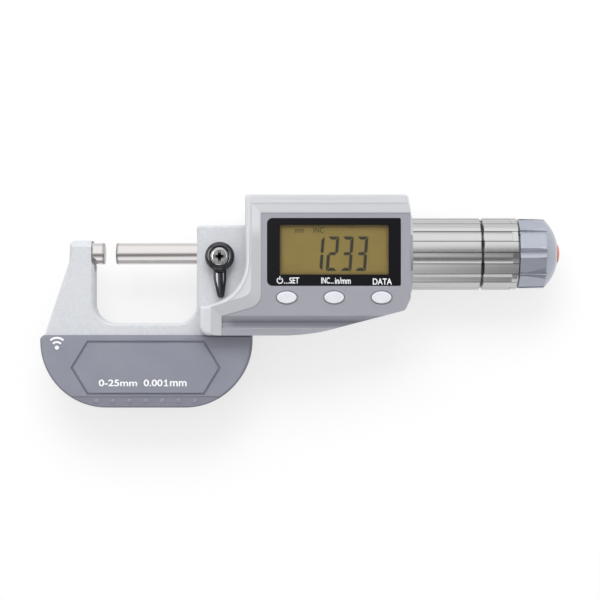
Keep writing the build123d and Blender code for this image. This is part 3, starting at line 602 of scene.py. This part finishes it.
def rubber(net):
    here = place(net)
    bloom = noise(net, here, 1.5, 4)
    return {
        "Base Color": bloom.mix(shade(30, 30, 31), shade(52, 52, 53)),
        "Roughness": 0.7 + 0.15 * bloom,
        "Normal": dents(net, noise(net, here, 0.12), 0.01),
    }


black_rubber = make("black_rubber", rubber)
dress(black_rubber, "spindle_seal", "battery_seal", "keypad_membrane", "lcd_contacts")

# %% Board and discs
track_pitch = 0.8
track_length = 2.4
comb_teeth = 48


def board_green(net):
    here = place(net)
    grid = {"Brick Width": track_length, "Row Height": track_pitch, "Mortar Size": 0.12}
    gaps = net.add("TexBrick", None, {"Vector": here, "Scale": 1.0, **grid}, output="Fac")
    specks = noise(net, here, 0.4)
    return {
        "Base Color": (gaps * 0.6).mix(shade(28, 92, 58), shade(70, 140, 92)),
        "Roughness": 0.3 + 0.15 * specks,
        "Normal": dents(net, gaps, 0.03),
    }


def copper_comb(net):
    along, across, up = split(net, place(net))
    angle = net.math("ARCTAN2", across, up)
    comb = net.math("SINE", angle * comb_teeth, 0).above(0, 0.2)
    return {
        "Base Color": comb.mix(shade(176, 152, 84), shade(206, 138, 92)),
        "Metallic": comb,
        "Roughness": 0.5 - 0.2 * comb,
    }


dress(make("solder_mask", board_green, Coat_Weight=0.3), "circuit_board", "radio_module")
dress(make("copper_comb", copper_comb), "stator_disc", "rotor_disc")

# %% Light guide
def milky(net):
    here = place(net)
    dots = net.add("TexVoronoi", None, {"Vector": here, "Scale": 1.4}, output="Distance")
    spots = 1 - dots.above(0.35, 0.1)
    return {
        "Base Color": spots.mix(shade(226, 220, 196), shade(244, 240, 224)),
        "Roughness": 0.3 + 0.3 * spots,
        "Normal": dents(net, spots, 0.05),
    }


dress(make("light_guide", milky), "backlight")

# %% [markdown]
# ## Window and liquid crystal
#
# The window is clear, with a black border printed on it. One material does both: Alpha is
# 1 in the border and low over the liquid crystal, and the shader's gloss stays on both.
# Under it the panel is an amber sheet, lit a little unevenly from behind and browner round its
# edge, where the polariser ends; that darker edge is also painted shade of the window's border.

# %% Clear area
view_left = 53.3
view_right = 85.9
view_bottom = -6.5
view_top = 8.4


def inside(net, grow, soft):
    """1 inside the clear area of the window, grown by a margin in millimetres."""
    along, across, up = split(net, place(net))
    sides = (along - (view_left - grow)).least((view_right + grow) - along)
    ends = (across - (view_bottom - grow)).least((view_top + grow) - across)
    return sides.least(ends).above(0, soft)


print("clear area", round(view_right - view_left, 1), "by", round(view_top - view_bottom, 1), "mm")

# %% Window and amber panel
def window(net):
    clear = inside(net, 0, 0.08)
    film = noise(net, place(net), 6.0)
    return {
        "Base Color": shade(16, 16, 20),
        "Alpha": 1 - 0.92 * clear,
        "Roughness": 0.06 + 0.05 * film,
    }


def amber(net):
    here = place(net)
    uneven = noise(net, here, 8.0)
    fibres = noise(net, stretch(net, here, (1, 4, 1)), 1.2)
    # Painted shade round the panel's edge, together with the polariser's brown.
    edge = 1 - inside(net, -0.2, 1.6)
    colour = uneven.mix(shade(141, 121, 63), shade(156, 136, 70))
    colour = (0.15 * fibres).mix(colour, shade(120, 104, 56))
    return {
        "Base Color": (edge * 0.75).mix(colour, shade(78, 62, 52)),
        "Roughness": 0.4 + 0.1 * fibres,
    }


dress(make("window", window, Specular_IOR_Level=0.25), "display_window")
dress(make("liquid_crystal", amber), "lcd_panel")

# %% [markdown]
# ## Adding pieces
#
# Ink and segments are thin plates. Each is a mesh made in code from its outline, with a top, a
# bottom and sides, so that it is a closed piece like any other. A piece is drawn in millimetres,
# rides on the body that carries it, and is given its finish.

# %% Thin plates
ink_thickness = 0.03
ink_sink = 0.01


def adopt(name, mesh, material):
    """Makes a piece of a mesh and puts it on the body."""
    piece = bpy.data.objects.new(name, mesh)
    mesh.materials.clear()
    mesh.materials.append(material)
    bpy.context.scene.collection.objects.link(piece)
    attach(piece, "body")
    print(name, "has", len(mesh.polygons), "faces")


def plate(mesh, outline, base):
    """Adds one closed plate over an outline of (x, y) points in millimetres."""
    low = [mesh.verts.new(Vector((x, y, base - ink_sink)) * MM) for x, y in outline]
    high = [mesh.verts.new(Vector((x, y, base + ink_thickness)) * MM) for x, y in outline]
    mesh.faces.new(reversed(low))
    mesh.faces.new(high)
    count = len(outline)
    for i in range(count):
        after = (i + 1) % count
        mesh.faces.new((low[i], low[after], high[after], high[i]))


def plates(name, outlines, base, material):
    """One piece of several plates that lie on a face at the height base."""
    mesh = bmesh.new()
    for outline in outlines:
        plate(mesh, outline, base)
    bmesh.ops.recalc_face_normals(mesh, faces=mesh.faces)
    data = bpy.data.meshes.new(name)
    mesh.to_mesh(data)
    mesh.free()
    adopt(name, data, material)


print("ink stands", ink_thickness, "mm proud")

# %% [markdown]
# ## Ink
#
# The front grip carries the measuring range and the resolution, and a sign of two arcs
# and a dot for the radio. The window carries what each key does. The words are set in the
# plain typeface that comes with Blender, made heavier by its offset, and fitted to a box.

# %% White ink
def ink(net):
    edge = noise(net, place(net), 0.1)
    return {
        "Base Color": edge.mix(shade(236, 237, 240), shade(250, 250, 252)),
        "Roughness": 0.5 + 0.1 * edge,
    }


white_ink = make("white_ink", ink)

# %% Words
def words(name, text, box, base, weight, material=white_ink):
    """Raised print of a text that fills a box of left, right, bottom and top in millimetres."""
    curve = bpy.data.curves.new(name, "FONT")
    curve.body = text
    curve.offset = weight
    curve.extrude = 0.5
    setter = bpy.data.objects.new(name + "_set", curve)
    bpy.context.scene.collection.objects.link(setter)
    bpy.context.view_layer.update()
    data = bpy.data.meshes.new_from_object(setter)
    bpy.data.objects.remove(setter)
    left, right, bottom, top = box
    xs = [vertex.co.x for vertex in data.vertices]
    ys = [vertex.co.y for vertex in data.vertices]
    wide = (right - left) / (max(xs) - min(xs))
    tall = (top - bottom) / (max(ys) - min(ys))
    thick = ink_thickness + ink_sink
    to_box = Matrix.Translation((left, bottom, base - ink_sink + thick / 2))
    to_box = to_box @ Matrix.Diagonal((wide, tall, thick, 1))
    to_box = to_box @ Matrix.Translation((-min(xs), -min(ys), 0))
    data.transform(Matrix.Scale(MM, 4) @ to_box)
    mesh = bmesh.new()
    mesh.from_mesh(data)
    bmesh.ops.remove_doubles(mesh, verts=mesh.verts, dist=MM / 1000)
    bmesh.ops.recalc_face_normals(mesh, faces=mesh.faces)
    mesh.to_mesh(data)
    mesh.free()
    adopt(name, data, material)


print_bottom = -40.1
print_top = -38.05
grip_weight = 0.02
words("range_print", "0-25mm", (-1.3, 10.3, print_bottom, print_top), grip_face, grip_weight)
words("resolution_print", "0.00", (12.25, 17.95, print_bottom, print_top), grip_face, grip_weight)
unit_box = (20.15, 25.2, print_bottom, print_bottom + 1.6)
words("resolution_unit", "mm", unit_box, grip_face, grip_weight)

# %% Figure one and radio sign
def band(centre, inner, outer, start, end, steps=24):
    """Outline of a part of a ring, between two angles in degrees."""
    angles = [math.radians(start + (end - start) * i / steps) for i in range(steps + 1)]
    far = [(centre[0] + outer * math.cos(a), centre[1] + outer * math.sin(a)) for a in angles]
    near = [(centre[0] + inner * math.cos(a), centre[1] + inner * math.sin(a)) for a in angles]
    return far + near[::-1]


def disc(centre, radius, steps=28):
    """Outline of a round dot."""
    turns = [2 * math.pi * i / steps for i in range(steps)]
    return [(centre[0] + radius * math.cos(a), centre[1] + radius * math.sin(a)) for a in turns]


figure_left = 18.4
figure_width = 1.25
figure_one = [(0, 0), (1, 0), (1, 0.15), (0.66, 0.15), (0.66, 1), (0.42, 1), (0, 0.76), (0, 0.58),
              (0.36, 0.74), (0.36, 0.15), (0, 0.15)]
figure_height = print_top - print_bottom
one_outline = [(figure_left + figure_width * x, print_bottom + figure_height * y)
               for x, y in figure_one]
plates("resolution_one", [one_outline], grip_face, white_ink)

radio_spot = (-13.9, -28.45)
radio_arcs = [band(radio_spot, 1.4, 1.95, 44, 136), band(radio_spot, 2.65, 3.25, 48, 132)]
plates("radio_sign", radio_arcs + [disc(radio_spot, 0.62)], grip_face, white_ink)

# %% Print on the window
window_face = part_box("display_window")[1].z / MM
label_bottom = -9.2
label_top = -7.35
label_weight = 0.015
words("set_label", "SET", (56.2, 59.1, label_bottom, label_top), window_face, label_weight)
words("zero_label", "INC", (65.7, 68.25, label_bottom, label_top), window_face, label_weight)
words("unit_label", "in/mm", (69.8, 74.5, label_bottom - 0.1, label_top), window_face, label_weight)
data_box = (81.1, 86.8, label_bottom - 0.3, label_top - 0.3)
words("data_label", "DATA", data_box, window_face, label_weight)

power_spot = (53.35, -8.3)
power_ring = band(power_spot, 0.68, 0.95, 118, 422, 40)
power_bar = [(53.22, -8.1), (53.48, -8.1), (53.48, -6.95), (53.22, -6.95)]
dots = [disc((x, label_bottom + 0.15), 0.17, 12) for x in (54.75, 55.3, 55.85, 68.65, 69.2)]
plates("power_sign", [power_ring, power_bar] + dots, window_face, white_ink)

# %% [markdown]
# ## Digits of the liquid crystal
#
# Each digit is a set of seven bars, and which of them are dark makes the number. A bar
# is a plate with mitred ends, so that neighbours meet with a hair of space. Three bars are
# drawn, the other four are their mirror images, and the whole digit leans a few degrees.

# %% Seven bars
half_width = 3.35 / 2
half_height = 10.3 / 2
bar_width = 0.94
bar_gap = 0.09


def seven_bars():
    """Outlines of the bars a to g round the middle of a digit, each with mitred ends."""
    w, h, gap = half_width, half_height, bar_gap
    inner, middle = w - bar_width, bar_width / 2
    below = h - bar_width
    end = w - middle - gap
    top = [(gap - w, h), (w - gap, h), (inner - gap, below), (gap - inner, below)]
    upper = [(w, h - gap), (w, gap + middle), (w - middle, gap), (inner, middle + gap),
             (inner, below - gap)]
    across = [(-end, 0), (-inner, middle), (inner, middle), (end, 0), (inner, -middle),
              (-inner, -middle)]
    bars = {"a": top, "b": upper, "g": across}
    bars["d"] = [(x, -y) for x, y in top]
    bars["c"] = [(x, -y) for x, y in upper]
    bars["e"] = [(-x, -y) for x, y in upper]
    bars["f"] = [(-x, y) for x, y in upper]
    return bars


bars = seven_bars()
print("bars:", " ".join(sorted(bars)))

# %% The reading
def dark_crystal(net):
    cloud = noise(net, place(net), 2.0)
    return {"Base Color": cloud.mix(shade(34, 38, 26), shade(48, 52, 36)), "Roughness": 0.4}


segment_dark = make("segment_dark", dark_crystal)
crystal_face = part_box("lcd_panel")[1].z / MM
reading = "1233"
bars_of = {"1": "bc", "2": "abged", "3": "abgcd"}
first_digit = 64.75
digit_pitch = 4.35
digit_base = -5.4
lean = math.tan(math.radians(4.2))


def leaning(outline, x, y):
    """An outline of a digit moved to its place and slanted."""
    return [(x + px + py * lean, y + half_height + py) for px, py in outline]


outlines = []
for place_in_row, figure in enumerate(reading):
    middle = first_digit + place_in_row * digit_pitch
    outlines += [leaning(bars[letter], middle, digit_base) for letter in bars_of[figure]]
plates("reading", outlines, crystal_face, segment_dark)
words("unit_flag", "mm", (57.9, 60.5, 6.0, 7.1), crystal_face, 0.0, segment_dark)
words("mode_flag", "INC", (63.4, 66.5, 6.0, 7.6), crystal_face, 0.0, segment_dark)

# %% [markdown]
# ## Table
#
# The table is plain and white, and takes the instrument's soft shadow. The camera sees it
# shine a little too, so that it reads as white, and so do the rays that metal and glass
# send on, so that they show the same table. The light that falls on the object has no
# part in that shine.

# %% Table
floor_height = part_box("rear_housing")[0].z
floor_radius = 3.0
floor_mesh = bmesh.new()
bmesh.ops.create_circle(floor_mesh, cap_ends=True, segments=64, radius=floor_radius)
floor_data = bpy.data.meshes.new("table")
floor_mesh.to_mesh(floor_data)
floor_mesh.free()
floor = bpy.data.objects.new("table", floor_data)
floor.location = (view_centre.x, view_centre.y, floor_height)
bpy.context.scene.collection.objects.link(floor)
print("table at", round(floor_height / MM, 2), "mm")

# %% White of the table
table_shine = 0.68


def table_white(net):
    seen = net.add("LightPath", output="Is Camera Ray")
    for ray in ("Is Glossy Ray", "Is Transmission Ray"):
        seen = seen.most(net.add("LightPath", output=ray))
    return {
        "Base Color": seen.mix(shade(225, 225, 225), shade(150, 150, 150)),
        "Emission Color": (seen * table_shine).mix((0, 0, 0, 1), (1, 1, 1, 1)),
        "Roughness": 0.9,
    }


white = make("table_white", table_white, Emission_Strength=1.0, Specular_IOR_Level=0.0)
floor_data.materials.append(white)

# %% [markdown]
# ## Sky of the studio
#
# A cylinder seen from above reflects the whole sky in one stripe across its width, so
# the stripes on the spindle are a map of the studio: a large bright panel on the far
# side, a dark gap where the camera hangs a little to the near side, and a second panel.
# So the sky is a ramp over the angle round X. Dark cards stand in front of it beside the
# gap and at both ends, and two narrow lights, one left and one right, give the lever its
# streaks. Surfaces without gloss see a plainer sky, and the camera sees white.

# %% Panels
world = bpy.data.worlds.new("studio")
world.use_nodes = True
bpy.context.scene.world = world
sky = Wire(world.node_tree)
ahead, aside, upward = split(sky, sky.add("TexCoord", output="Generated"))
reach = ((aside * aside + upward * upward) + 0.0001) ** 0.5
drift = (ahead + 0.06).least(0.25).most(-0.1)
tilt = 0.5 + 0.5 * (aside / reach) - 0.75 * drift
panel_strength = 1.36
panels = sky.add("ValToRGB", {"stops": [
    (0.0, 0.74), (0.05, 0.88), (0.10, 0.98), (0.17, 0.86), (0.25, 0.46), (0.33, 0.24),
    (0.41, 0.24), (0.47, 0.36), (0.53, 0.62), (0.61, 0.92), (0.70, 1.0), (1.0, 1.0)]}, {0: tilt})
panel_light = panel_strength * split(sky, panels)[0]
print("panels have", len(world.node_tree.nodes), "nodes")

# %% Cards and narrow lights
near_card = ahead.above(0.075, 0.1) * (1 - ahead.above(0.36, 0.2)) * (1 - tilt.above(0.38, 0.3))
right_card = ahead.above(0.42, 0.12)
left_card = ahead.near(-0.62, 0.12, 0.1)
panel_light = panel_light * (1 - 0.76 * near_card) * (1 - 0.5 * right_card) * (1 - 0.7 * left_card)

left_strip = ahead.near(-0.36, 0.09, 0.05) * aside.above(-0.08, 0.05) * (1 - aside.above(0.3, 0.1))
right_strip = ahead.near(0.3, 0.07, 0.04) * aside.above(-0.04, 0.05) * (1 - aside.above(0.36, 0.1))
panel_light = panel_light + 8.5 * left_strip + 4.5 * right_strip
print("cards and lights bring it to", len(world.node_tree.nodes))

# %% Which ray sees what
plain_light = 0.80 + 0.42 * aside
glossy = sky.add("LightPath", output="Is Glossy Ray")
straight = sky.add("LightPath", output="Is Camera Ray")
straight = straight.most(sky.add("LightPath", output="Is Transmission Ray"))
light = glossy * panel_light + (1 - glossy) * plain_light
light = straight + (1 - straight) * light
backdrop = world.node_tree.nodes["Background"]
world.node_tree.links.new(light.socket, backdrop.inputs["Strength"])
backdrop.inputs["Color"].default_value = (1, 1, 1, 1)
print("sky has", len(world.node_tree.nodes), "nodes")

# %% [markdown]
# ## Lamp
#
# One wide lamp on the far side gives the forms a direction and a soft shadow on the near
# side. It is hidden from gloss, because the sky already holds what the metal reflects.

# %% Lamp
lamp_data = bpy.data.lights.new("softbox", "AREA")
lamp_data.shape = "RECTANGLE"
lamp_data.size = 0.5
lamp_data.size_y = 0.35
lamp_data.energy = 3.0
lamp = bpy.data.objects.new("softbox", lamp_data)
lamp.location = view_centre + Vector((-0.05, 0.5, 0.6))
lamp.rotation_euler = (view_centre - lamp.location).to_track_quat("-Z", "Y").to_euler()
lamp.visible_glossy = False
bpy.context.scene.collection.objects.link(lamp)
print("lamp at", [round(part, 2) for part in lamp.location])

# %% [markdown]
